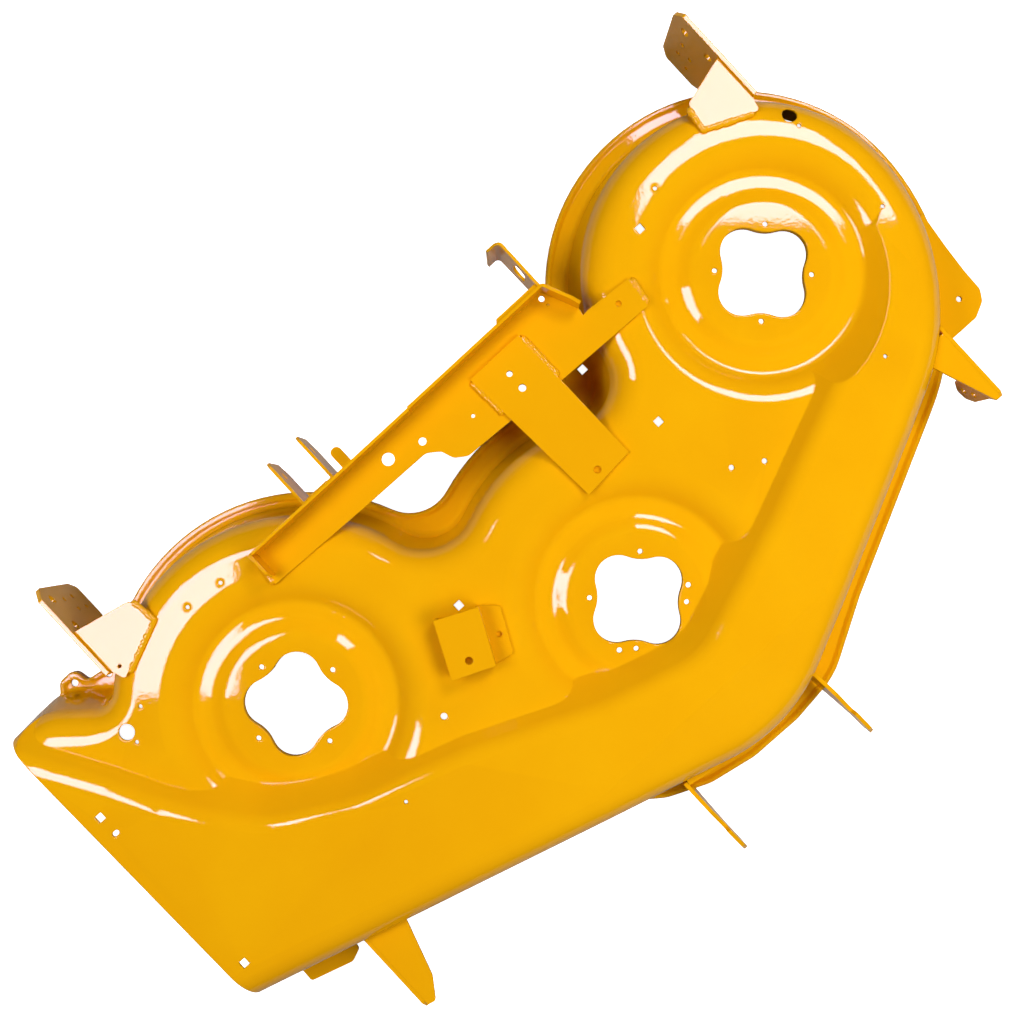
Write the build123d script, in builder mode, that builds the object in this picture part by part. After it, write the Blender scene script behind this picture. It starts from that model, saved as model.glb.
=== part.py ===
from build123d import *
import math
import os

os.makedirs("parts", exist_ok=True)

# ---------------------------------------------------------------- driving dimensions (mm)
# The deck is laid out about the point midway between the two outer spindles:
# +X to the left of the machine, +Y to its rear, z = 0 at the lower rim.
# OX, OY put the centre of the whole object's box on the origin.
OX, OY = 16.2, 109.2

SHEET = 3.0              # shell sheet
DRAFT = 10.0             # wall draft, degrees
Z_FRONT = 149.0          # raised front zone
Z_TOP = 128.0            # main plateau
Z_BOSS = 115.0           # spindle seats
Z_FLOOR = 107.0          # ring round each seat
RIDGE_Z = 113.0          # height at which the plan outline is taken
EDGE_R = 43.0            # top edge radius
FLARE_R = 52.0           # radius where a spindle pocket opens into the plateau
SP_L, SP_M, SP_R = (415.5, 0.0), (5.5, -203.4), (-415.5, 0.0)        # spindle axes
LOBE_L, LOBE_M, LOBE_R = (411.0, 8.0), (5.5, -203.4), (-415.5, 0.0)  # wall arc centres
X_OPEN = -760.0          # the pans run past the mouth, then are cut there
RIM_Z, RIM_BEAD_Z, RIM_BEAD_W = 10.0, 14.0, 10.0
SPINDLE_PCD_L, SPINDLE_PCD_R, SPINDLE_BOLT = 127.0, 131.5, 6.5
LIP_DEPTH = 9.0
PLATE = 5.0              # bracket plate
FOOT = RIDGE_Z * math.tan(math.radians(DRAFT))

DECK = Plane(origin=(OX, OY, 0))


def at(x, y, z=0.0):
    """Deck layout point as a point of the finished object."""
    return (x + OX, y + OY, z)


# ---------------------------------------------------------------- plan outlines
def tangent_centre(c1, r1, c2, r2, side):
    dx, dy = c2[0] - c1[0], c2[1] - c1[1]
    d = math.hypot(dx, dy)
    a = (r1 * r1 - r2 * r2 + d * d) / (2 * d)
    h = math.sqrt(r1 * r1 - a * a) * side
    return (c1[0] + (a * dx - h * dy) / d, c1[1] + (a * dy + h * dx) / d)


def toward(c, p, r):
    d = math.hypot(p[0] - c[0], p[1] - c[1])
    return (c[0] + (p[0] - c[0]) * r / d, c[1] + (p[1] - c[1]) * r / d)


def mid_arc(c, a, b, r, ccw=True):
    t1 = math.atan2(a[1] - c[1], a[0] - c[0])
    t2 = math.atan2(b[1] - c[1], b[0] - c[0])
    if ccw:
        while t2 < t1:
            t2 += 2 * math.pi
    else:
        while t2 > t1:
            t2 -= 2 * math.pi
    t = (t1 + t2) / 2
    return (c[0] + r * math.cos(t), c[1] + r * math.sin(t))


def outline(plane, g1, g2, rl, rm, rr, k1, k2, k3, tab=None):
    """Closed plan outline: front edges offset by g1 (mouth side) and g2 (left side), lobe radii
    rl, rm, rr and hollow radii k1, k2, k3; with tab the lobed rim at the mouth replaces k3."""
    a1 = math.atan2(-165.0, 560.0)
    a2 = math.radians(25.8)
    a3 = math.radians(139.4)
    d1, n1 = (math.cos(a1), math.sin(a1)), (math.sin(a1), -math.cos(a1))
    d2, n2 = (math.cos(a2), math.sin(a2)), (math.sin(a2), -math.cos(a2))
    d3, n3 = (math.cos(a3), math.sin(a3)), (math.sin(a3), -math.cos(a3))
    p1 = (-705 + g1 * n1[0], -245 + g1 * n1[1])
    ca, ra = (340.0, 8.0), 296.0 + g2
    q2 = (ca[0] + ra * n2[0], ca[1] + ra * n2[1])
    det = d1[0] * d2[1] - d1[1] * d2[0]
    w = (q2[0] - p1[0], q2[1] - p1[1])
    s = (w[0] * d2[1] - w[1] * d2[0]) / det
    corner = (p1[0] + s * d1[0], p1[1] + s * d1[1])
    rn = 240.0 + g1
    tl = rn * math.tan((a2 - a1) / 2)
    n_in = (corner[0] - tl * d1[0], corner[1] - tl * d1[1])
    n_out = (corner[0] + tl * d2[0], corner[1] + tl * d2[1])
    cn = (n_in[0] - rn * n1[0], n_in[1] - rn * n1[1])
    start = (X_OPEN, p1[1] + (X_OPEN - p1[0]) * d1[1] / d1[0])
    left = (ca[0] + ra, ca[1])
    c_lm = tangent_centre(LOBE_L, rl + k1, LOBE_M, rm + k1, -1)
    c_rm = tangent_centre(LOBE_R, rr + k2, LOBE_M, rm + k2, 1)
    l_end, m_start = toward(LOBE_L, c_lm, rl), toward(LOBE_M, c_lm, rm)
    m_end, r_start = toward(LOBE_M, c_rm, rm), toward(LOBE_R, c_rm, rr)
    with BuildSketch(plane) as s:
        with BuildLine():
            Line(start, n_in)
            ThreePointArc(n_in, mid_arc(cn, n_in, n_out, rn), n_out)
            Line(n_out, q2)
            ThreePointArc(q2, mid_arc(ca, q2, left, ra), left)
            ThreePointArc(left, mid_arc(LOBE_L, left, l_end, rl), l_end)
            ThreePointArc(l_end, mid_arc(c_lm, l_end, m_start, k1, False), m_start)
            ThreePointArc(m_start, mid_arc(LOBE_M, m_start, m_end, rm), m_end)
            ThreePointArc(m_end, mid_arc(c_rm, m_end, r_start, k2, False), r_start)
            if tab is None:
                g = g1
                p3 = (-626 + g * n3[0], 176 + g * n3[1])
                bx = p3[0] + k3 * n3[0] - LOBE_R[0]
                by = p3[1] + k3 * n3[1] - LOBE_R[1]
                b = bx * d3[0] + by * d3[1]
                c = bx * bx + by * by - (rr + k3) ** 2
                u = max((-b + sg * math.sqrt(b * b - c) for sg in (1, -1)),
                        key=lambda q: p3[1] + k3 * n3[1] + q * d3[1])
                c_s = (p3[0] + k3 * n3[0] + u * d3[0], p3[1] + k3 * n3[1] + u * d3[1])
                r_end = toward(LOBE_R, c_s, rr)
                s_end = (p3[0] + u * d3[0], p3[1] + u * d3[1])
                yt, rt = 216.0 + g, 60.0 + g
                v = (yt - p3[1]) / d3[1]
                ct = (p3[0] + v * d3[0], yt)
                tl3 = rt * math.tan((math.pi - a3) / 2)
                t_in = (ct[0] - tl3 * d3[0], ct[1] - tl3 * d3[1])
                t_out = (ct[0] - tl3, yt)
                c_t = (t_out[0], yt - rt)
                end = (X_OPEN, yt)
                ThreePointArc(r_start, mid_arc(LOBE_R, r_start, r_end, rr), r_end)
                ThreePointArc(r_end, mid_arc(c_s, r_end, s_end, k3, False), s_end)
                Line(s_end, t_in)
                ThreePointArc(t_in, mid_arc(c_t, t_in, t_out, rt), t_out)
                Line(t_out, end)
            else:
                r_end = toward(LOBE_R, tab[0], rr)
                end = (X_OPEN, tab[-1][1])
                ThreePointArc(r_start, mid_arc(LOBE_R, r_start, r_end, rr), r_end)
                Polyline(r_end, *tab[1:], end)
            Line(end, start)
        make_face()
        if tab is not None:
            for p, r in zip(tab[1:-1], (9, 6, 5, 9, 6)):
                fillet(vertices().sort_by_distance((p[0], p[1], 0))[0], radius=r)
    return s


def pan_outline(g):
    return outline(DECK, g, g, 225 + g, 241 + g, 242.5 + g, 60 - g, 75 - g, 30 - g)


RIM_TAB = [(-593, 215), (-612, 219.5), (-633, 223), (-637.5, 247), (-664, 247), (-676, 232)]
RIM_NOSE = [(-188, -418), (-150, -448), (-90, -475), (-20, -489), (60, -491), (138, -482), (240, -424)]


def inset_chain(pts, radii, d):
    """Polyline moved d to its left, with the corner radii to match."""
    lines = []
    for (x0, y0), (x1, y1) in zip(pts, pts[1:]):
        ln = math.hypot(x1 - x0, y1 - y0)
        ux, uy = (x1 - x0) / ln, (y1 - y0) / ln
        lines.append((x0 - uy * d, y0 + ux * d, ux, uy))
    out = [(lines[0][0], lines[0][1])]
    new = []
    for (ax, ay, ux, uy), (bx, by, vx, vy), r in zip(lines, lines[1:], radii):
        det = ux * vy - uy * vx
        k = ((bx - ax) * vy - (by - ay) * vx) / det
        out.append((ax + k * ux, ay + k * uy))
        new.append(max(r - d, 1.0) if det > 0 else r + d)
    x1, y1 = pts[-1]
    ax, ay, ux, uy = lines[-1]
    out.append((x1 - uy * d, y1 + ux * d))
    return out, new


def rim_outline(inset, z):
    """Outer edge of the rolled rim, with the lobed tab at the mouth and the flat nose."""
    a1, a2 = math.atan2(-165.0, 560.0), math.radians(25.8)
    n1, n2 = (math.sin(a1), -math.cos(a1)), (math.sin(a2), -math.cos(a2))
    ca, g1, g2 = (340.0, 8.0), 20.6, 48.0
    rl, rm, rr = 273.0 - inset, 294.0 - inset, 279.0 - inset
    k1, k2 = 60.0 + inset, 60.0 + inset
    p1 = (-705 + g1 * n1[0], -245 + g1 * n1[1])
    slope = math.tan(a1)
    start = (X_OPEN, p1[1] + (X_OPEN - p1[0]) * slope)
    leave = (-205.0, p1[1] + (-205.0 - p1[0]) * slope)
    ra = 296.0 + g2
    q2 = (ca[0] + ra * n2[0], ca[1] + ra * n2[1])
    front, fr = inset_chain([start, leave] + RIM_NOSE + [q2], (20, 18, 60, 60, 60, 60, 120, 60), inset)
    front[0] = (X_OPEN, front[0][1] + (X_OPEN - front[0][0]) * slope)
    tab, tr = inset_chain(RIM_TAB + [(X_OPEN, RIM_TAB[-1][1])], (9, 6, 12, 12, 12), inset)
    ra -= inset
    q2 = front[-1]
    left = (ca[0] + ra, ca[1])
    c_lm = tangent_centre(LOBE_L, rl + k1, LOBE_M, rm + k1, -1)
    c_rm = tangent_centre(LOBE_R, rr + k2, LOBE_M, rm + k2, 1)
    l_end, m_start = toward(LOBE_L, c_lm, rl), toward(LOBE_M, c_lm, rm)
    m_end, r_start = toward(LOBE_M, c_rm, rm), toward(LOBE_R, c_rm, rr)
    r_end = toward(LOBE_R, RIM_TAB[0], rr)
    with BuildSketch(DECK.offset(z)) as s:
        with BuildLine():
            Polyline(*front)
            ThreePointArc(q2, mid_arc(ca, q2, left, ra), left)
            ThreePointArc(left, mid_arc(LOBE_L, left, l_end, rl), l_end)
            ThreePointArc(l_end, mid_arc(c_lm, l_end, m_start, k1, False), m_start)
            ThreePointArc(m_start, mid_arc(LOBE_M, m_start, m_end, rm), m_end)
            ThreePointArc(m_end, mid_arc(c_rm, m_end, r_start, k2, False), r_start)
            ThreePointArc(r_start, mid_arc(LOBE_R, r_start, r_end, rr), r_end)
            Polyline(r_end, *tab[1:])
            Line(tab[-1], front[0])
        make_face()
        for p, r in list(zip(tab[1:-1], tr)) + list(zip(front[1:-1], fr)):
            fillet(vertices().sort_by_distance((p[0], p[1], 0))[0], radius=r)
    return s


# ---------------------------------------------------------------- shell volumes
def outer_edges(part):
    """Edges that bound the upward faces on one side only: the top perimeter."""
    ups = [f for f in part.faces() if f.normal_at().Z > 0.9]
    found = []
    for f in ups:
        for e in f.edges():
            if abs((e @ 0.5).X - OX - X_OPEN) < 30:
                continue
            if sum(1 for g in ups for q in g.edges() if q.is_same(e)) == 1:
                found.append(e)
    return found


def pan(height, inset, raised=False):
    """Drafted block with a rounded top edge; the raised one has a sloping nose and left end."""
    h = height - inset
    face = pan_outline(FOOT - inset)
    with BuildPart() as body:
        add(face.sketch)
        extrude(amount=h, taper=DRAFT)
        if raised:
            sl = math.tan(math.radians(12.0))
            z0 = height - inset / math.cos(math.radians(12.0))
            y0 = -353.0 + (z0 - h) / sl
            with BuildSketch(Plane(origin=(OX - 330, OY, 0), x_dir=(0, 1, 0), z_dir=(1, 0, 0))):
                with BuildLine():
                    Polyline((y0, h), (y0, 260), (-640, 260), (-640, h - (640 + y0) * sl), close=True)
                make_face()
            extrude(amount=900, mode=Mode.SUBTRACT)
            se = math.atan2(21.0, 160.0)
            x0 = 400.0 + (inset - inset / math.cos(se)) / math.tan(se)
            with BuildSketch(Plane(origin=(OX, OY + 300, 0), x_dir=(1, 0, 0), z_dir=(0, -1, 0))):
                with BuildLine():
                    Polyline((x0, h), (x0 + 160, h - 21), (900, h - 21), (900, 260), (x0, 260), close=True)
                make_face()
            extrude(amount=900, mode=Mode.SUBTRACT)
        fillet(outer_edges(body.part), radius=EDGE_R - inset)
    return body.part


CREST = [(760, 0), (590, -62), (430, -150), (190, -250), (15, -312), (-120, -272), (-290, -196),
         (-440, -146), (-545, -85), (-622, 22), (-655, 85), (-800, 330)]
CREST_R = (150, 150, 150, 110, 150, 150, 150, 150, 150, 150)


def front_zone(inset):
    """Everything in front of the crest, with a 45 degree rear slope."""
    z = Z_FRONT - inset
    with BuildPart() as zone:
        with BuildSketch(DECK.offset(z)) as s:
            with BuildLine():
                Polyline(*CREST, (-900, 330), (-900, -700), (760, -700), close=True)
            make_face()
            for p, r in zip(CREST[1:-1], CREST_R):
                fillet(vertices().sort_by_distance((p[0], p[1], 0))[0], radius=r)
            if inset:
                offset(amount=-inset * (math.sqrt(2) - 1))
        extrude(amount=-(z - 60.0), taper=-45)
        crest = []
        for e in zone.edges():
            m = e @ 0.5
            if abs(m.Z - z) < 0.01 and m.Y - OY > -690 and -880 < m.X - OX < 750:
                crest.append(e)
        fillet(crest, radius=30 - inset)
    return zone.part


def pocket(centre, inset, flare=True):
    """Round seat and ring pressed down into the plateau (material above the sheet)."""
    zb, zf, zt = Z_BOSS - inset, Z_FLOOR - inset, Z_TOP - inset
    d = (math.sqrt(2) - 1) * inset
    up = zt if flare else 200.0
    pts = [(0, 220), (0, zb), (93 + 0.2 * inset, zb), (112 + 0.2 * inset, zf), (134 + d, zf),
           (134 + d + up - zf, up)]
    if flare:
        pts.append((134 + d + up - zf + 30, up))
        pts.append((134 + d + up - zf + 30, 220))
    else:
        pts.append((134 + d + up - zf, 220))
    with BuildPart() as cut:
        with BuildSketch(Plane(origin=at(centre[0], centre[1]), x_dir=(1, 0, 0), z_dir=(0, -1, 0))) as s:
            with BuildLine():
                Polyline(*pts, close=True)
            make_face()
            rounds = [(2, 26 + inset), (3, 26 - inset), (4, 14 - inset)]
            if flare:
                rounds.append((5, FLARE_R + inset))
            for i, r in rounds:
                fillet(vertices().sort_by_distance((pts[i][0], pts[i][1], 0))[0], radius=r)
        revolve(axis=Axis(at(centre[0], centre[1]), (0, 0, 1)))
    return cut.part


def rim(inset):
    """Flat rim with a rolled bead along its outer edge."""
    z0, z1 = -inset / 3, 10.0 if inset else 11.0
    with BuildPart() as groove:
        add(rim_outline(8.76 if inset else RIM_BEAD_W, RIM_Z - inset).sketch)
        extrude(amount=6.0, taper=-45)
    with BuildPart() as slab:
        add(rim_outline(inset, z0).sketch)
        extrude(amount=z1 - z0)
        if not inset:
            add(rim_outline(0, z1).sketch)
            extrude(amount=RIM_BEAD_Z - z1, taper=40)
        add(groove.part, mode=Mode.SUBTRACT)
    return slab.part


def cove(inset):
    """Hollow transition between rim and wall, in three sloping bands."""
    r, zc = 10.0 + inset, RIM_Z + 10.0
    dr = math.radians(DRAFT)
    gc = (RIDGE_Z - (zc - 10.0 * math.sin(dr))) * math.tan(dr) + 10.0 * math.cos(dr)
    pts = [(gc - r * math.sin(math.radians(q)), zc - r * math.cos(math.radians(q))) for q in (0, 27, 53, 80)]
    with BuildPart() as limit:
        add(rim_outline(11.5 if inset else 12.5, 0).sketch)
        extrude(amount=60)
    with BuildPart() as bands:
        for (ga, za), (gb, zb) in zip(pts, pts[1:]):
            f = outline(DECK.offset(za), ga, ga, 225 + ga, 241 + ga, 242.5 + ga, 60 - ga, 75 - ga, 30 - ga)
            add(f.sketch)
            extrude(amount=zb - za, taper=math.degrees(math.atan2(ga - gb, zb - za)))
        add(limit.part, mode=Mode.INTERSECT)
    return bands.part


def body(inset):
    """Solid under the outer (inset 0) or inner (inset SHEET) skin."""
    zone = front_zone(inset)
    with BuildPart() as front:
        add(pan(Z_FRONT, inset, raised=True))
        add(zone, mode=Mode.INTERSECT)
        add(pocket(SP_L, inset, flare=False), mode=Mode.SUBTRACT)
    with BuildPart() as rear:
        add(pan(Z_TOP, inset))
        add(zone, mode=Mode.SUBTRACT)
        for c in (SP_L, SP_M, SP_R):
            add(pocket(c, inset), mode=Mode.SUBTRACT)
    with BuildPart() as whole:
        add(rear.part)
        add(front.part)
        add(cove(inset))
        add(rim(inset))
    return whole.part


# ---------------------------------------------------------------- openings
def seat_hole(centre, turn, grow, z):
    """Four-lobed opening of a spindle seat; turn is the direction of the first lobe."""
    tip, waist, rho = 68.2 + grow, 53.0 + grow, 31.0 + grow
    d1 = tip - rho
    k = math.cos(math.radians(45))
    # waist arc radius that makes it tangent to the lobes
    r2 = (rho * rho - d1 * d1 - waist * waist + 2 * d1 * waist * k) / (2 * waist - 2 * d1 * k - 2 * rho)
    d2 = waist + r2
    with BuildSketch(DECK.offset(z)) as s:
        with BuildLine():
            for i in range(4):
                a, b, c = (math.radians(turn + 90 * i + q) for q in (0, 45, 90))
                l0 = (centre[0] + d1 * math.cos(a), centre[1] + d1 * math.sin(a))
                l1 = (centre[0] + d1 * math.cos(c), centre[1] + d1 * math.sin(c))
                w = (centre[0] + d2 * math.cos(b), centre[1] + d2 * math.sin(b))
                p0, p1 = toward(l0, w, rho), toward(l1, w, rho)
                ThreePointArc(p0, (centre[0] + waist * math.cos(b), centre[1] + waist * math.sin(b)), p1)
                n = (centre[0] + d2 * math.cos(b + math.radians(90)), centre[1] + d2 * math.sin(b + math.radians(90)))
                ThreePointArc(p1, (centre[0] + tip * math.cos(c), centre[1] + tip * math.sin(c)), toward(l1, n, rho))
        make_face()
    return s


SEATS = ((SP_L, 0.0), (SP_M, 0.0), (SP_R, 45.0))
SQUARE_HOLES = [(333.0, 150.1), (181.1, -50.0), (-170.4, -49.6), (-688.4, 62.2), (-679.3, -198.8)]
ROUND_HOLES = [(210.1, -157.8, 7), (247.4, -180.6, 7), (-281.9, -142.2, 9), (-388.1, -187.5, 5),
               (-597.6, 121.3, 21), (-596.8, 103.1, 5), (576.2, 126.9, 20), (66.9, -233.5, 7), (-57.0, -235.1, 7)]
DIMPLED_HOLES = [(382.8, 175.2), (575.0, 108.4), (583.6, -41.9), (449.3, -185.3), (-377.7, 181.4),
                 (-430.5, 187.1), (-562.0, 133.9)]
RIM_SQUARE = (170.0, 72.3)
COLLARS = [(382.8, 175.2), (-377.7, 181.4), (-430.5, 187.1)]
TAB_HOLES = [(-649.8, 232.0, 10), (-606.0, 209.0, 9)]

outer = body(0.0)
inner = body(SHEET)

with BuildPart() as deck_shell:
    add(outer)
    add(inner, mode=Mode.SUBTRACT)
    # spindle seats: opening with its edge rolled down
    for centre, turn in SEATS:
        add(seat_hole(centre, turn, SHEET, Z_BOSS - 1).sketch)
        extrude(amount=-LIP_DEPTH)
        add(seat_hole(centre, turn, 0, Z_BOSS + 1).sketch)
        extrude(amount=-2 * LIP_DEPTH, mode=Mode.SUBTRACT)
        r, first = (SPINDLE_PCD_R / 2, 0.0) if centre is SP_R else (SPINDLE_PCD_L / 2, 45.0)
        with BuildSketch(DECK.offset(Z_BOSS + 1)):
            with Locations(centre):
                with PolarLocations(r, 4, start_angle=first):
                    Circle(SPINDLE_BOLT / 2)
        extrude(amount=-6, mode=Mode.SUBTRACT)
    # square, round and dimpled holes of the top
    with BuildSketch(DECK.offset(160)):
        with Locations(*SQUARE_HOLES):
            Rectangle(10, 10)
        for x, y, d in ROUND_HOLES:
            with Locations((x, y)):
                Circle(d / 2)
        with Locations((-687.3, 34.2)):
            SlotOverall(10, 6.5)
        with Locations(*DIMPLED_HOLES):
            Circle(2.6)
    extrude(amount=-62, mode=Mode.SUBTRACT)
    with BuildSketch(DECK.offset(30)):
        for x, y, d in TAB_HOLES:
            with Locations((x, y)):
                Circle(d / 2)
        with Locations(RIM_SQUARE):
            Rectangle(10.6, 10.6)
    extrude(amount=-28, mode=Mode.SUBTRACT)
    # shallow dished collars round the small holes of the plateau
    for x, y in COLLARS:
        with BuildSketch(Plane(origin=at(x, y), x_dir=(1, 0, 0), z_dir=(0, -1, 0))):
            with BuildLine():
                Polyline((0, Z_TOP + 2), (0, Z_TOP - 1.5), (3.0, Z_TOP - 1.5), (6.6, Z_TOP + 0.05), (6.6, Z_TOP + 2), close=True)
            make_face()
        revolve(axis=Axis(at(x, y), (0, 0, 1)), mode=Mode.SUBTRACT)
    # mouth cut
    with BuildSketch(Plane(origin=at(-710, 0, -5), x_dir=(-0.0266, 1, 0), z_dir=(0, 0, 1))):
        with Locations((0, 100)):
            Rectangle(1400, 200)
    extrude(amount=200, mode=Mode.SUBTRACT)
deck_shell.part.label = "deck_shell"
export_step(deck_shell.part, "parts/deck_shell.step")


# ---------------------------------------------------------------- brackets
def fitted(blank, *others):
    """Blank with the shell and its neighbours taken out, so that the faces just meet."""
    with BuildPart() as cut:
        add(blank)
        add(outer, mode=Mode.SUBTRACT)
        for other in others:
            add(other, mode=Mode.SUBTRACT)
    with BuildPart() as kept:
        add(cut.part.solids().sort_by(SortBy.VOLUME)[-1])
    return kept.part


def flat(points, z0, z1, radii=None, holes=(), squares=()):
    """Flat plate from a plan polygon, between two heights."""
    with BuildPart() as p:
        with BuildSketch(DECK.offset(z0)):
            with BuildLine():
                Polyline(*points, close=True)
            make_face()
            for q, r in (radii or {}).items():
                fillet(vertices().sort_by_distance((points[q][0], points[q][1], 0))[0], radius=r)
            for x, y, d in holes:
                with Locations((x, y)):
                    Circle(d / 2, mode=Mode.SUBTRACT)
        extrude(amount=z1 - z0)
    return p.part


def upright(x0, x1, points, radii=None, holes=(), slots=(), turn=0.0, pivot=0.0):
    """Vertical plate between two X positions from a (y, z) polygon, turned about its line y = pivot."""
    c, s = math.cos(math.radians(turn)), math.sin(math.radians(turn))
    with BuildPart() as p:
        with BuildSketch(Plane(origin=at(x0 + s * pivot, pivot - c * pivot), x_dir=(-s, c, 0), z_dir=(c, s, 0))):
            with BuildLine():
                Polyline(*points, close=True)
            make_face()
            for q, r in (radii or {}).items():
                fillet(vertices().sort_by_distance((points[q][0], points[q][1], 0))[0], radius=r)
            for y, z, d in holes:
                with Locations((y, z)):
                    Circle(d / 2, mode=Mode.SUBTRACT)
            for y, z, ln, w in slots:
                with Locations((y, z)):
                    SlotOverall(ln, w, rotation=90, mode=Mode.SUBTRACT)
        extrude(amount=x1 - x0)
    return p.part


def strip(line, thick, z0, z1):
    """Upright strip bent along a plan polyline, thickened to its left."""
    side, _ = inset_chain(line, [9999] * (len(line) - 2), thick)
    with BuildPart() as p:
        with BuildSketch(DECK.offset(z0)):
            with BuildLine():
                Polyline(*line, *reversed(side), close=True)
            make_face()
        extrude(amount=z1 - z0)
    return p.part


def bead(path, radius=2.6):
    """Weld bead along a path."""
    pts = [at(*q) for q in path]
    with BuildPart() as p:
        for a, b in zip(pts, pts[1:]):
            with BuildLine() as ln:
                Line(a, b)
            with BuildSketch(Plane(origin=a, z_dir=(b[0] - a[0], b[1] - a[1], b[2] - a[2]))):
                Circle(radius)
            sweep(path=ln.line)
        for q in pts:
            with Locations(q):
                Sphere(radius)
    return p.part


Z_WEB = Z_TOP + 4.0          # top of plates lying on the plateau
Z_FLANGE = 171.0             # top of the channel's rear flange
WHEEL_T = 6.0

left_holes = [(301, 109, 13), (256, 109, 13), (298, 75, 7), (300, 45, 7), (279, 58, 7), (280, 29, 7)]
with BuildPart() as rear_left_wheel_plate:
    add(fitted(upright(555, 555 + WHEEL_T, [(176, 137), (312, 137), (326, 120), (326, 22), (316, 3), (262, 3), (246, 12), (236, 8), (176, 8)],
                       {1: 4, 2: 6, 3: 8, 4: 8, 5: 8}, left_holes)))
rear_left_wheel_plate.part.label = "rear_left_wheel_plate"
export_step(rear_left_wheel_plate.part, "parts/rear_left_wheel_plate.step")

right_holes = [(y + 16, z, d) for y, z, d in left_holes]
with BuildPart() as rear_right_wheel_plate:
    add(fitted(upright(-558.5 - WHEEL_T, -558.5, [(192, 138), (320, 138), (338, 118), (338, 22), (330, 4), (280, 3), (262, 12), (250, 8), (192, 8)],
                       {1: 4, 2: 6, 3: 8, 4: 8, 5: 8}, right_holes)))
rear_right_wheel_plate.part.label = "rear_right_wheel_plate"
export_step(rear_right_wheel_plate.part, "parts/rear_right_wheel_plate.step")

with BuildPart() as rear_left_gusset:
    add(fitted(flat([(555, 243.5), (486, 225), (480, 188), (549, 157), (555, 180)], Z_TOP, Z_WEB, {1: 9, 2: 5, 3: 4}),
               rear_left_wheel_plate.part))
rear_left_gusset.part.label = "rear_left_gusset"
export_step(rear_left_gusset.part, "parts/rear_left_gusset.step")

with BuildPart() as rear_right_gusset:
    add(fitted(flat([(-558.5, 262), (-479, 244), (-474, 204), (-551, 173), (-558.5, 196)], Z_TOP, Z_WEB, {1: 9, 2: 5, 3: 4},
                    holes=[(-545, 190, 5)]), rear_right_wheel_plate.part))
rear_right_gusset.part.label = "rear_right_gusset"
export_step(rear_right_gusset.part, "parts/rear_right_gusset.step")

front_plate = [(-205, 108), (-325, 108), (-333, 101), (-336, 86), (-331, 72), (-331, 25), (-322, 7), (-306, 5), (-292, 20),
               (-285, 60), (-250, 70), (-205, 70)]
with BuildPart() as front_left_wheel_plate:
    add(fitted(upright(537, 542, [(y, z) for y, z in front_plate], {1: 6, 6: 8, 7: 8, 9: 12}, [(-309, 22, 10), (-319, 40, 10)])))
front_left_wheel_plate.part.label = "front_left_wheel_plate"
export_step(front_left_wheel_plate.part, "parts/front_left_wheel_plate.step")

with BuildPart() as front_left_gusset:
    add(fitted(flat([(537, -219), (537, -331), (529, -331), (498, -246), (488, -215)], 104, 108, {2: 5}),
               front_left_wheel_plate.part))
front_left_gusset.part.label = "front_left_gusset"
export_step(front_left_gusset.part, "parts/front_left_gusset.step")

with BuildPart() as front_right_wheel_plate:
    add(fitted(upright(-562, -557, [(y - 77, z) for y, z in front_plate], {1: 6, 6: 8, 7: 8, 9: 12}, [(-386, 22, 10), (-396, 40, 10)])))
front_right_wheel_plate.part.label = "front_right_wheel_plate"
export_step(front_right_wheel_plate.part, "parts/front_right_wheel_plate.step")

with BuildPart() as front_right_gusset:
    add(fitted(flat([(-557, -280), (-557, -408), (-546, -411), (-527, -384), (-504, -312), (-496, -285)], 104, 108, {2: 5, 3: 20}),
               front_right_wheel_plate.part))
front_right_gusset.part.label = "front_right_gusset"
export_step(front_right_gusset.part, "parts/front_right_gusset.step")

with BuildPart() as mouth_front_tab:
    add(fitted(flat([(-686, -262), (-687, -299), (-626, -318), (-608, -311), (-604, -285)], 10, 14, {1: 5, 2: 9, 3: 5})))
mouth_front_tab.part.label = "mouth_front_tab"
export_step(mouth_front_tab.part, "parts/mouth_front_tab.step")

with BuildPart() as left_side_plate:
    add(fitted(flat([(630, -90), (664, -90), (657, -145), (653, -188), (652, -221), (643, -236), (621, -247), (560, -246), (560, -200)],
                    RIM_BEAD_Z, RIM_BEAD_Z + 4, {4: 14, 5: 14, 6: 10}, [(621, -211.7, 8)])))
left_side_plate.part.label = "left_side_plate"
export_step(left_side_plate.part, "parts/left_side_plate.step")

# front lift bracket: strap along the nose with two hooked ears
ear = [(-425, 102), (-475, 102), (-508, 84), (-514, 96), (-546, 79), (-557, 62), (-545, 50), (-520, 56), (-494, 42),
       (-468, 22), (-448, 12), (-425, 12)]
with BuildPart() as front_lift_strap:
    add(fitted(strip([(-110, -431), (-81, -436), (-56, -439.5), (-19, -447.5), (20, -449.5), (78, -446), (116, -442)], 9, 66, 102)))
front_lift_strap.part.label = "front_lift_strap"
export_step(front_lift_strap.part, "parts/front_lift_strap.step")

with BuildPart() as front_lift_ear_right:
    add(fitted(upright(-115.5, -110, ear, {2: 4, 3: 3, 4: 4, 5: 4, 6: 3, 8: 8}, [(-532, 66, 10)])))
front_lift_ear_right.part.label = "front_lift_ear_right"
export_step(front_lift_ear_right.part, "parts/front_lift_ear_right.step")

with BuildPart() as front_lift_ear_left:
    add(fitted(upright(116, 121.5, ear, {2: 4, 3: 3, 4: 4, 5: 4, 6: 3, 8: 8}, [(-532, 66, 10)], turn=4.0, pivot=-557), front_lift_strap.part))
front_lift_ear_left.part.label = "front_lift_ear_left"
export_step(front_lift_ear_left.part, "parts/front_lift_ear_left.step")

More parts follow.
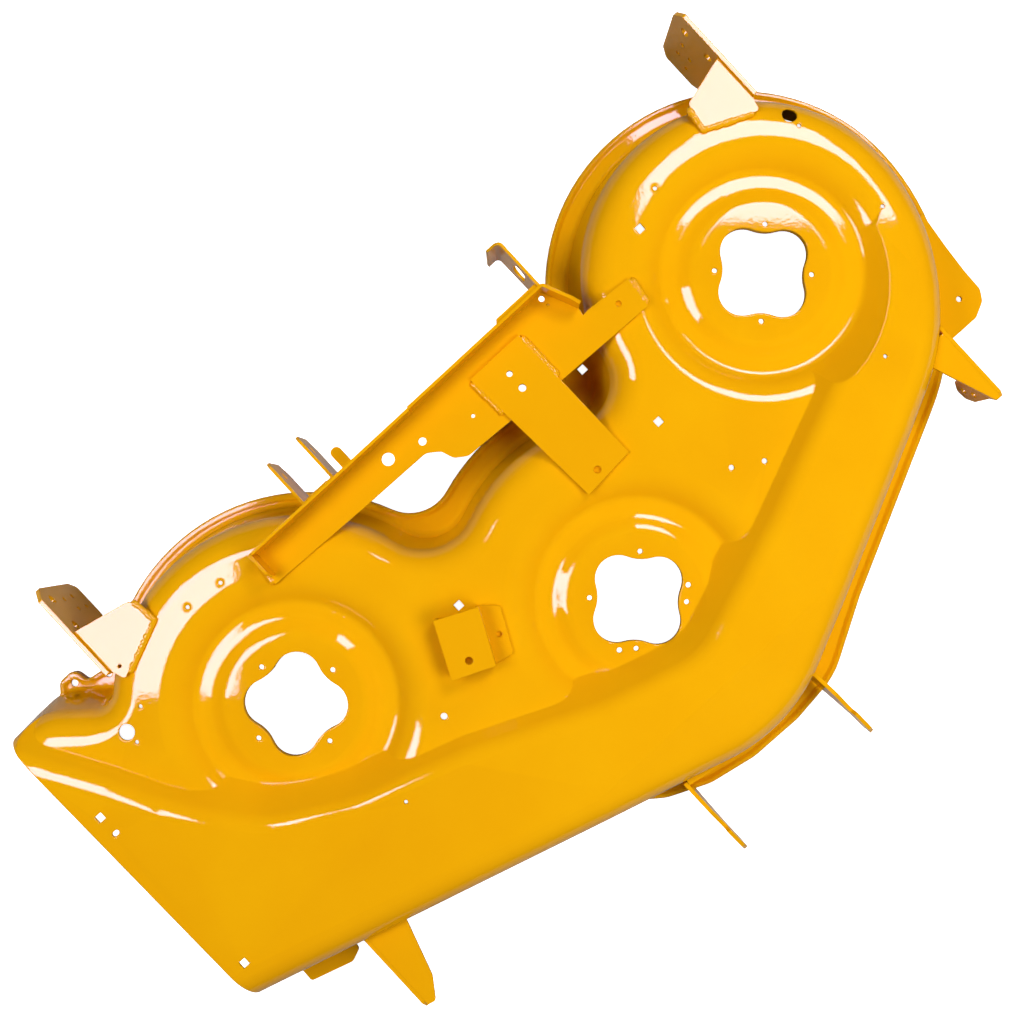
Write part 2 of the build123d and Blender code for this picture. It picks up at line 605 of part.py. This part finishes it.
# rear cross channel: web on the plateau, upright rear flange, return flange at its left end
web = [(-326, 131), (-170, 126), (-68, 124), (-52, 112), (-46, 95), (-30, 84), (45, 80), (125, 74), (273, 69), (279, 112),
       (211, 118), (202, 117), (204, 128), (186, 176), (-319, 178)]
with BuildPart() as channel_blank:
    add(flat(web, Z_TOP, Z_WEB, {2: 16, 3: 10, 4: 14, 5: 14, 8: 4, 9: 4}, [(177, 169, 8), (177.5, 157.5, 3.5), (-109.2, 151, 17), (-61, 138, 10.5),
                                                                         (9.4, 117.8, 5), (245.8, 97, 8),
                                                                         (80.5, 125.5, 8), (80.5, 101, 10)]))
    with BuildSketch(DECK.offset(Z_TOP)):
        with BuildLine():
            Polyline((-315, 174), (-46, 174), (-46, 175.5), (182, 175.5), (203, 127.5), (207, 129.3), (185, 179.5), (-46, 179.5), (-46, 178), (-315, 178), close=True)
        make_face()
        fillet(vertices().sort_by_distance((182, 175.5, 0))[0], radius=3)
        fillet(vertices().sort_by_distance((185, 179.5, 0))[0], radius=7)
    extrude(amount=Z_FLANGE - Z_TOP)
    # the flanges are lower towards the free end of the return
    with BuildSketch(Plane(origin=at(150, 0), x_dir=(0, 1, 0), z_dir=(1, 0, 0))):
        with BuildLine():
            Polyline((122, Z_FLANGE - 12), (140, Z_FLANGE), (140, Z_FLANGE + 5), (122, Z_FLANGE + 5), close=True)
        make_face()
    extrude(amount=100, mode=Mode.SUBTRACT)
with BuildPart() as rear_cross_channel:
    add(fitted(channel_blank.part))
rear_cross_channel.part.label = "rear_cross_channel"
export_step(rear_cross_channel.part, "parts/rear_cross_channel.step")

with BuildPart() as channel_end_plate:
    add(fitted(upright(-320, -316, [(140, Z_WEB), (140, 160), (146, 168), (178, 168), (178, Z_WEB)], {1: 3, 2: 5}), rear_cross_channel.part))
channel_end_plate.part.label = "channel_end_plate"
export_step(channel_end_plate.part, "parts/channel_end_plate.step")

# idler plate: flat over the channel, then folded down to the plateau
with BuildPart() as idler_blank:
    with BuildSketch(Plane(origin=at(0, 0), x_dir=(0, 1, 0), z_dir=(1, 0, 0))):
        with BuildLine():
            Polyline((160, Z_WEB), (68, Z_WEB), (-56, Z_TOP), (-70, Z_TOP), (-70, Z_TOP + PLATE), (-56, Z_TOP + PLATE),
                     (68, Z_WEB + PLATE), (160, Z_WEB + PLATE), close=True)
        make_face()
    extrude(amount=200)
    add(flat([(37.8, 154.2), (123, 154.4), (125.4, -52.8), (50, -58.6)], 100, 180,
             holes=[(80.5, 125.5, 8), (80.5, 101, 10), (80.3, -42, 10)]), mode=Mode.INTERSECT)
with BuildPart() as idler_mount_plate:
    add(fitted(idler_blank.part, rear_cross_channel.part))
idler_mount_plate.part.label = "idler_mount_plate"
export_step(idler_mount_plate.part, "parts/idler_mount_plate.step")

# left lift lug: upright plate with a slot and a hooked end, on the channel's rear flange
with BuildPart() as lug_blank:
    with BuildSketch(DECK.offset(80)):
        with BuildLine():
            Polyline((178, 178), (182, 178), (182, 257), (161, 257), (161, 253), (178, 253), close=True)
        make_face()
        fillet(vertices().sort_by_distance((182, 257, 0))[0], radius=10)
        fillet(vertices().sort_by_distance((178, 253, 0))[0], radius=6)
    extrude(amount=100)
    add(upright(150, 190, [(178, 92), (252, 84), (260, 88), (260, 164), (252, Z_FLANGE), (178, Z_FLANGE)], {3: 4, 4: 6}, slots=[(213, 132, 46, 22)]),
        mode=Mode.INTERSECT)
with BuildPart() as rear_left_lift_lug:
    add(fitted(lug_blank.part, rear_cross_channel.part))
rear_left_lift_lug.part.label = "rear_left_lift_lug"
export_step(rear_left_lift_lug.part, "parts/rear_left_lift_lug.step")

with BuildPart() as lug_backing_bar:
    add(fitted(flat([(178, 179.5), (178, 184.5), (130, 184.5), (112, 184.5), (108, 179.5)], 146, 168, {3: 3}), rear_cross_channel.part, rear_left_lift_lug.part))
lug_backing_bar.part.label = "lug_backing_bar"
export_step(lug_backing_bar.part, "parts/lug_backing_bar.step")

# right lift clevis: U-shaped bracket on the channel's rear flange
with BuildPart() as clevis_blank:
    with BuildSketch(DECK.offset(70)):
        with BuildLine():
            Polyline((-228, 250), (-228, 178), (-174, 178), (-174, 250), (-178, 250), (-178, 182), (-224, 182), (-224, 250), close=True)
        make_face()
        for q, r in (((-228, 178), 6), ((-174, 178), 6), ((-178, 182), 2), ((-224, 182), 2)):
            fillet(vertices().sort_by_distance((q[0], q[1], 0))[0], radius=r)
    extrude(amount=80)
    with BuildSketch(Plane(origin=at(-240, 0), x_dir=(0, 1, 0), z_dir=(1, 0, 0))):
        with Locations((228, 118)):
            Circle(6)
        with BuildLine():
            Polyline((215, 60), (270, 60), (270, 92), (250, 84), (232, 70), close=True)
        make_face()
        with BuildLine():
            Polyline((238, 160), (270, 160), (270, 140), (250, 144), (244, 150), close=True)
        make_face()
    extrude(amount=80, mode=Mode.SUBTRACT)
with BuildPart() as rear_right_lift_clevis:
    add(fitted(clevis_blank.part, rear_cross_channel.part))
rear_right_lift_clevis.part.label = "rear_right_lift_clevis"
export_step(rear_right_lift_clevis.part, "parts/rear_right_lift_clevis.step")

with BuildPart() as stop_tab:
    add(fitted(flat([(-160, 178), (-160, 210), (-145, 210), (-145, 178)], Z_TOP, Z_WEB, {1: 7, 2: 7}), rear_cross_channel.part))
stop_tab.part.label = "stop_tab"
export_step(stop_tab.part, "parts/stop_tab.step")

# belt guide: raised plate on two legs, one of them with a foot
guide = [(-205, -41), (-151, -67), (-185, -137), (-239, -113)]
with BuildPart() as belt_guide_bracket:
    with BuildSketch(DECK.offset(Z_TOP)):
        with BuildLine():
            Polyline(*guide, close=True)
        make_face()
        with BuildLine():
            Polyline((-151, -67), (-131, -86), (-160, -143), (-185, -137), close=True)
        make_face()
        fillet(vertices().sort_by_distance((-131, -86, 0))[0], radius=4)
        fillet(vertices().sort_by_distance((-160, -143, 0))[0], radius=4)
    extrude(amount=32)
    ux, uy = -34 / 77.8, -70 / 77.8       # direction along the legs
    px, py = 54 / 59.9, -26 / 59.9        # direction across the top
    with BuildSketch(DECK.offset(Z_TOP)):
        with BuildLine():
            Polyline(*[(x + a * px - b * ux, y + a * py - b * uy) for (x, y), a, b in
                       ((guide[0], 4, 10), (guide[1], -4, 10), (guide[2], -4, -10), (guide[3], 4, -10))], close=True)
        make_face()
    extrude(amount=28, mode=Mode.SUBTRACT)
    with BuildSketch(DECK.offset(Z_WEB)):
        with BuildLine():
            Polyline((guide[1][0] - 10 * ux, guide[1][1] - 10 * uy), (-90, -86), (-120, -180), (guide[2][0] + 10 * ux, guide[2][1] + 10 * uy), close=True)
        make_face()
    extrude(amount=40, mode=Mode.SUBTRACT)
    with BuildSketch(DECK.offset(Z_TOP - 1)):
        with Locations((-205.6, -108.9)):
            Circle(5)
        with Locations((-157, -112)):
            Circle(4)
    extrude(amount=40, mode=Mode.SUBTRACT)
belt_guide_bracket.part.label = "belt_guide_bracket"
export_step(belt_guide_bracket.part, "parts/belt_guide_bracket.step")

# ---------------------------------------------------------------- weld beads
with BuildPart() as left_gusset_weld:
    add(fitted(bead([(484.5, 222, 129.5), (479, 188, 129.5), (543, 158.5, 129.5)]), rear_left_gusset.part))
left_gusset_weld.part.label = "left_gusset_weld"
export_step(left_gusset_weld.part, "parts/left_gusset_weld.step")

with BuildPart() as right_gusset_weld:
    add(fitted(bead([(-477.5, 241, 129.5), (-473, 204, 129.5), (-543, 175, 129.5)]), rear_right_gusset.part))
right_gusset_weld.part.label = "right_gusset_weld"
export_step(right_gusset_weld.part, "parts/right_gusset_weld.step")

with BuildPart() as channel_tongue_weld:
    add(fitted(bead([(280, 110, 129.5), (274.3, 71, 129.5)]), rear_cross_channel.part))
channel_tongue_weld.part.label = "channel_tongue_weld"
export_step(channel_tongue_weld.part, "parts/channel_tongue_weld.step")

with BuildPart() as channel_end_weld:
    add(fitted(bead([(-327, 133, 129.5), (-320.5, 176, 129.5)]), rear_cross_channel.part, channel_end_plate.part))
channel_end_weld.part.label = "channel_end_weld"
export_step(channel_end_weld.part, "parts/channel_end_weld.step")

with BuildPart() as idler_weld_left:
    add(fitted(bead([(124.2, 151, 133.4), (124.8, 80, 133.4)]), rear_cross_channel.part, idler_mount_plate.part))
idler_weld_left.part.label = "idler_weld_left"
export_step(idler_weld_left.part, "parts/idler_weld_left.step")

with BuildPart() as idler_weld_right:
    add(fitted(bead([(37, 151, 133.4), (40.2, 92, 133.4)]), rear_cross_channel.part, idler_mount_plate.part))
idler_weld_right.part.label = "idler_weld_right"
export_step(idler_weld_right.part, "parts/idler_weld_right.step")

with BuildPart() as clevis_weld:
    add(fitted(bead([(-220, 179.3, 150.8), (-182, 179.3, 150.8)]), rear_cross_channel.part, rear_right_lift_clevis.part))
clevis_weld.part.label = "clevis_weld"
export_step(clevis_weld.part, "parts/clevis_weld.step")

with BuildPart() as lug_weld:
    add(fitted(bead([(177, 180.3, 120), (177, 180.3, 144)]), rear_cross_channel.part, rear_left_lift_lug.part, lug_backing_bar.part))
lug_weld.part.label = "lug_weld"
export_step(lug_weld.part, "parts/lug_weld.step")
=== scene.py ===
import math
import random

import bmesh
import bpy
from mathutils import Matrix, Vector


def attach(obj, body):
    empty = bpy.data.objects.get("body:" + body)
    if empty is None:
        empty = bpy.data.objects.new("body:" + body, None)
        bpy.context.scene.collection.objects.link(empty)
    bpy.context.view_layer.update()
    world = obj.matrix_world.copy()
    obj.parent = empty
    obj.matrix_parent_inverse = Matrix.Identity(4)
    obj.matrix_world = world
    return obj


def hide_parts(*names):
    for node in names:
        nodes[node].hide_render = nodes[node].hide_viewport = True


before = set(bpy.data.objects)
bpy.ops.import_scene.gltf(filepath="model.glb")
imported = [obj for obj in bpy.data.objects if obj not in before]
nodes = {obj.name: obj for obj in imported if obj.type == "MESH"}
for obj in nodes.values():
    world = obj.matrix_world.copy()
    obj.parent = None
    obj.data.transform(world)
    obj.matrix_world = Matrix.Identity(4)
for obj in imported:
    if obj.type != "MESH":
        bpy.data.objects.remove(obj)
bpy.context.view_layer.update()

# the deck layout's origin (midway between the outer spindles) in the frame, in mm
OX, OY = 16.2, 109.2
Z_TOP = 128.0


def at(x, y, z=0.0):
    """Deck layout millimetres to metres in the frame."""
    return Vector(((x + OX) / 1000, (y + OY) / 1000, z / 1000))


# ---------------------------------------------------------------- powder coat
def powder_coat(name, light, deep, peel=1.0, wave=1.0, bevel=0.0012, seed=0.0, rough=0.022):
    """Gloss yellow powder coat: slight mottling, orange peel, the sheet's own long waves and rounded edges."""
    m = bpy.data.materials.new(name)
    m.use_nodes = True
    n, ln = m.node_tree.nodes, m.node_tree.links
    b = n["Principled BSDF"]
    b.inputs["Metallic"].default_value = 0.0
    b.inputs["IOR"].default_value = 1.5
    b.inputs["Coat Weight"].default_value = 0.0
    b.inputs["Coat Roughness"].default_value = 0.03
    b.inputs["Coat IOR"].default_value = 1.5

    coord = n.new("ShaderNodeTexCoord")
    place = n.new("ShaderNodeMapping")
    place.inputs["Location"].default_value = (seed, seed * 0.7, -seed * 0.4)
    ln.new(coord.outputs["Object"], place.inputs["Vector"])

    # colour: broad film-thickness mottling, fine mottling, and a thinner coat on proud edges
    broad = n.new("ShaderNodeTexNoise")
    broad.inputs["Scale"].default_value = 9.0
    broad.inputs["Detail"].default_value = 4.0
    broad.inputs["Roughness"].default_value = 0.55
    ln.new(place.outputs["Vector"], broad.inputs["Vector"])
    fine = n.new("ShaderNodeTexNoise")
    fine.inputs["Scale"].default_value = 620.0
    fine.inputs["Detail"].default_value = 2.0
    ln.new(place.outputs["Vector"], fine.inputs["Vector"])
    both = n.new("ShaderNodeMix")
    both.data_type = "FLOAT"
    both.inputs[0].default_value = 0.18
    ln.new(broad.outputs["Fac"], both.inputs[2])
    ln.new(fine.outputs["Fac"], both.inputs[3])
    tone = n.new("ShaderNodeValToRGB")
    tone.color_ramp.elements[0].position = 0.30
    tone.color_ramp.elements[0].color = (*deep, 1)
    tone.color_ramp.elements[1].position = 0.68
    tone.color_ramp.elements[1].color = (*light, 1)
    ln.new(both.outputs[0], tone.inputs["Fac"])
    geo = n.new("ShaderNodeNewGeometry")
    proud = n.new("ShaderNodeValToRGB")
    proud.color_ramp.elements[0].position = 0.53
    proud.color_ramp.elements[0].color = (0, 0, 0, 1)
    proud.color_ramp.elements[1].position = 0.60
    proud.color_ramp.elements[1].color = (1, 1, 1, 1)
    ln.new(geo.outputs["Pointiness"], proud.inputs["Fac"])
    edge = n.new("ShaderNodeMix")
    edge.data_type = "RGBA"
    ln.new(tone.outputs["Color"], edge.inputs[6])
    edge.inputs[7].default_value = (light[0] * 0.90, light[1] * 0.82, light[2], 1)
    scaled = n.new("ShaderNodeMath")
    scaled.operation = "MULTIPLY"
    scaled.inputs[1].default_value = 0.35
    ln.new(proud.outputs["Color"], scaled.inputs[0])
    ln.new(scaled.outputs[0], edge.inputs[0])
    ln.new(edge.outputs[2], b.inputs["Base Color"])

    # gloss: a little uneven
    haze = n.new("ShaderNodeMapRange")
    haze.inputs["To Min"].default_value = rough * 0.55
    haze.inputs["To Max"].default_value = rough * 1.25
    ln.new(broad.outputs["Fac"], haze.inputs["Value"])
    ln.new(haze.outputs["Result"], b.inputs["Roughness"])

    # relief: rounded edges, the sheet's long waves, orange peel
    soft = n.new("ShaderNodeBevel")
    soft.samples = 4
    soft.inputs["Radius"].default_value = bevel
    waves = n.new("ShaderNodeTexNoise")
    waves.inputs["Scale"].default_value = 11.0
    waves.inputs["Detail"].default_value = 2.0
    waves.inputs["Roughness"].default_value = 0.4
    ln.new(place.outputs["Vector"], waves.inputs["Vector"])
    long_bump = n.new("ShaderNodeBump")
    long_bump.inputs["Strength"].default_value = 1.0
    long_bump.inputs["Distance"].default_value = 0.00022 * wave
    ln.new(waves.outputs["Fac"], long_bump.inputs["Height"])
    ln.new(soft.outputs["Normal"], long_bump.inputs["Normal"])
    skin = n.new("ShaderNodeTexNoise")
    skin.inputs["Scale"].default_value = 240.0
    skin.inputs["Detail"].default_value = 1.0
    skin.inputs["Roughness"].default_value = 0.5
    ln.new(place.outputs["Vector"], skin.inputs["Vector"])
    peel_bump = n.new("ShaderNodeBump")
    peel_bump.inputs["Strength"].default_value = 1.0
    peel_bump.inputs["Distance"].default_value = 0.000034 * peel
    ln.new(skin.outputs["Fac"], peel_bump.inputs["Height"])
    ln.new(long_bump.outputs["Normal"], peel_bump.inputs["Normal"])
    ln.new(peel_bump.outputs["Normal"], b.inputs["Normal"])
    ln.new(peel_bump.outputs["Normal"], b.inputs["Coat Normal"])
    return m


LIGHT, DEEP = (0.935, 0.460, 0.002), (0.905, 0.425, 0.0015)
shell_paint = powder_coat("shell_powder_coat", LIGHT, DEEP, bevel=0.0035, seed=0.0)
plate_paint = powder_coat("plate_powder_coat", LIGHT, DEEP, wave=0.7, bevel=0.0012, seed=3.1)
weld_paint = powder_coat("weld_powder_coat", (0.93, 0.445, 0.004), (0.86, 0.38, 0.003), peel=1.6, wave=0.3, bevel=0.0003, seed=7.7, rough=0.05)

for name, obj in nodes.items():
    paint = shell_paint if name == "deck_shell" else plate_paint
    if len(obj.material_slots) == 0:
        obj.data.materials.append(paint)
    for s in obj.material_slots:
        s.material = paint


# ---------------------------------------------------------------- weld beads
def weld_bead(name, node, path, half_width, half_height, pitch, seed):
    """Rippled weld metal along a path: overlapping scales, uneven width, rounded ends."""
    rnd = random.Random(seed)
    pts = [at(*p) for p in path]
    step = 0.0006
    line = []
    for a, b in zip(pts, pts[1:]):
        k = max(2, int((b - a).length / step))
        line += [a.lerp(b, i / k) for i in range(k)]
    line.append(pts[-1])
    for _ in range(14):
        line = [line[0]] + [(line[i - 1] + line[i] * 2 + line[i + 1]) / 4 for i in range(1, len(line) - 1)] + [line[-1]]
    far = [0.0]
    for a, b in zip(line, line[1:]):
        far.append(far[-1] + (b - a).length)
    total = far[-1]
    marks = [rnd.uniform(-1, 1) for _ in range(int(total / 0.004) + 4)]
    upright = abs((pts[-1] - pts[0]).normalized().z) > 0.9
    up = Vector((0, 1, 0)) if upright else Vector((0, 0, 1))
    bm = bmesh.new()
    sides, rings = 18, []
    for i, p in enumerate(line):
        t = (line[min(i + 1, len(line) - 1)] - line[max(i - 1, 0)]).normalized()
        side = t.cross(up).normalized()
        top = side.cross(t).normalized()
        s = far[i]
        u = s / 0.004
        j, f = int(u), u - int(u)
        f = f * f * (3 - 2 * f)
        sway = marks[j] * (1 - f) + marks[j + 1] * f
        phase = (s % pitch) / pitch
        scale = 0.78 + 0.22 * math.sqrt(max(0.0, 1 - phase * phase)) + 0.12 * sway
        end = min(s, total - s) / (half_width * 1.1)
        cap = math.sqrt(max(0.0, 1 - (1 - min(end, 1.0)) ** 2)) if end < 1 else 1.0
        w, h = half_width * scale * max(cap, 0.04), half_height * scale * max(cap, 0.04)
        centre = p + side * (0.0004 * sway)
        ring = []
        for q in range(sides):
            a = 2 * math.pi * q / sides
            ahead = t * (0.0010 * math.cos(a) * math.cos(a) if math.sin(a) > 0 else 0.0)
            ring.append(bm.verts.new(centre + side * (w * math.cos(a)) + top * (h * math.sin(a)) - ahead))
        rings.append(ring)
    for r0, r1 in zip(rings, rings[1:]):
        for q in range(sides):
            bm.faces.new((r0[q], r0[(q + 1) % sides], r1[(q + 1) % sides], r1[q]))
    bm.faces.new(list(reversed(rings[0])))
    bm.faces.new(rings[-1])
    bmesh.ops.recalc_face_normals(bm, faces=bm.faces)
    for f in bm.faces:
        f.smooth = True
    me = bpy.data.meshes.new(name)
    bm.to_mesh(me)
    bm.free()
    me.materials.append(weld_paint)
    obj = bpy.data.objects.new(name, me)
    bpy.context.scene.collection.objects.link(obj)
    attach(obj, "root")
    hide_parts(node)
    return obj


weld_bead("left_gusset_bead", "left_gusset_weld", [(484.5, 222, 129.2), (479.2, 188, 129.2), (543, 158.5, 129.2)], 0.0050, 0.0038, 0.0036, 11)
weld_bead("right_gusset_bead", "right_gusset_weld", [(-477.5, 241, 129.2), (-473, 204, 129.2), (-543, 175, 129.2)], 0.0050, 0.0038, 0.0036, 12)
weld_bead("channel_tongue_bead", "channel_tongue_weld", [(280.2, 110, 129.2), (274.5, 71, 129.2)], 0.0052, 0.0038, 0.0036, 13)
weld_bead("channel_end_bead", "channel_end_weld", [(-327.3, 133, 129.2), (-320.8, 176, 129.2)], 0.0050, 0.0038, 0.0036, 14)
weld_bead("idler_bead_left", "idler_weld_left", [(124.6, 151, 133.0), (125.2, 80, 133.0)], 0.0046, 0.0040, 0.0036, 15)
weld_bead("idler_bead_right", "idler_weld_right", [(36.7, 151, 133.0), (39.9, 92, 133.0)], 0.0046, 0.0040, 0.0036, 16)
weld_bead("clevis_bead", "clevis_weld", [(-220, 179.6, 150.6), (-182, 179.6, 150.6)], 0.0034, 0.0030, 0.0028, 17)
weld_bead("lug_bead", "lug_weld", [(176.8, 180.5, 120), (176.8, 180.5, 144)], 0.0030, 0.0030, 0.0028, 18)


# ---------------------------------------------------------------- floor
bpy.ops.mesh.primitive_plane_add(size=60.0, location=(0, 0, -0.0005))
floor = bpy.context.object
floor.name = "studio_floor"
fm = bpy.data.materials.new("studio_floor_paper")
fm.use_nodes = True
fb = fm.node_tree.nodes["Principled BSDF"]
fb.inputs["Base Color"].default_value = (0.92, 0.92, 0.92, 1)
fb.inputs["Roughness"].default_value = 0.9
fb.inputs["Specular IOR Level"].default_value = 0.0
fb.inputs["Emission Color"].default_value = (1.0, 1.0, 1.0, 1)
fb.inputs["Emission Strength"].default_value = 1.0
floor.data.materials.append(fm)
floor.visible_glossy = False
floor.visible_diffuse = False
floor.visible_shadow = False

# the ground as the object sees it: darker than the backdrop, so its sides stay deep
bpy.ops.mesh.primitive_plane_add(size=60.0, location=(0, 0, -0.0010))
ground = bpy.context.object
ground.name = "studio_ground"
gm = bpy.data.materials.new("studio_ground_paper")
gm.use_nodes = True
gb = gm.node_tree.nodes["Principled BSDF"]
gb.inputs["Base Color"].default_value = (0.46, 0.42, 0.41, 1)
gb.inputs["Roughness"].default_value = 0.9
gb.inputs["Specular IOR Level"].default_value = 0.0
ground.data.materials.append(gm)
ground.visible_camera = False
ground.visible_diffuse = False


# ---------------------------------------------------------------- light
RIGHT = Vector((0.7349, -0.6782, 0))      # to the right in the picture
UP = Vector((0.6782, 0.7349, 0))          # up in the picture
AXIS = Vector((-0.02158, 0.10177, 0))     # where the camera looks
BOX_Z = 2.128


def softbox(name, cx, cy, width, height, radiance, colour, seen_in_gloss):
    """Rectangular softbox facing down, placed by its offsets right and up in the picture."""
    data = bpy.data.lights.new(name, "AREA")
    data.shape = "RECTANGLE"
    data.size, data.size_y = width, height
    data.energy = radiance * math.pi * width * height
    data.color = colour
    obj = bpy.data.objects.new(name, data)
    bpy.context.scene.collection.objects.link(obj)
    obj.location = AXIS + RIGHT * cx + UP * cy + Vector((0, 0, BOX_Z))
    obj.rotation_euler = (0, 0, math.atan2(RIGHT.y, RIGHT.x))
    # the gloss sees small bright boxes, the diffuse light comes from broader, weaker ones
    obj.visible_diffuse = not seen_in_gloss
    obj.visible_glossy = seen_in_gloss
    return obj


PINK = (1.0, 0.76, 1.05)
softbox("gloss_rear", 0.79, 1.34, 0.79, 0.88, 16.5, PINK, True)
softbox("gloss_side", -1.345, -0.055, 0.98, 1.02, 16.5, PINK, True)
softbox("broad_rear", 0.79, 1.34, 0.79, 0.88, 12.3, (1.0, 0.97, 0.9), False)
softbox("broad_side", -1.32, -0.055, 1.00, 1.02, 10.4, (1.0, 0.97, 0.9), False)
softbox("broad_front", 1.60, -0.75, 1.60, 1.60, 6.0, (1.0, 0.97, 0.9), False)

world = bpy.data.worlds.new("studio")
bpy.context.scene.world = world
world.use_nodes = True
bg = world.node_tree.nodes["Background"]
bg.inputs["Color"].default_value = (1.0, 0.99, 0.97, 1)
bg.inputs["Strength"].default_value = 0.020


# ---------------------------------------------------------------- camera
cam_data = bpy.data.cameras.new("camera")
cam_data.lens = 39.38
cam_data.sensor_width = 36.0
cam_data.clip_end = 50.0
cam = bpy.data.objects.new("camera", cam_data)
bpy.context.scene.collection.objects.link(cam)
cam.location = AXIS + Vector((0, 0, 1.578))
cam.rotation_euler = (0, 0, math.atan2(RIGHT.y, RIGHT.x))
bpy.context.scene.camera = cam

bpy.context.scene.view_settings.view_transform = "Standard"
bpy.context.scene.view_settings.look = "None"
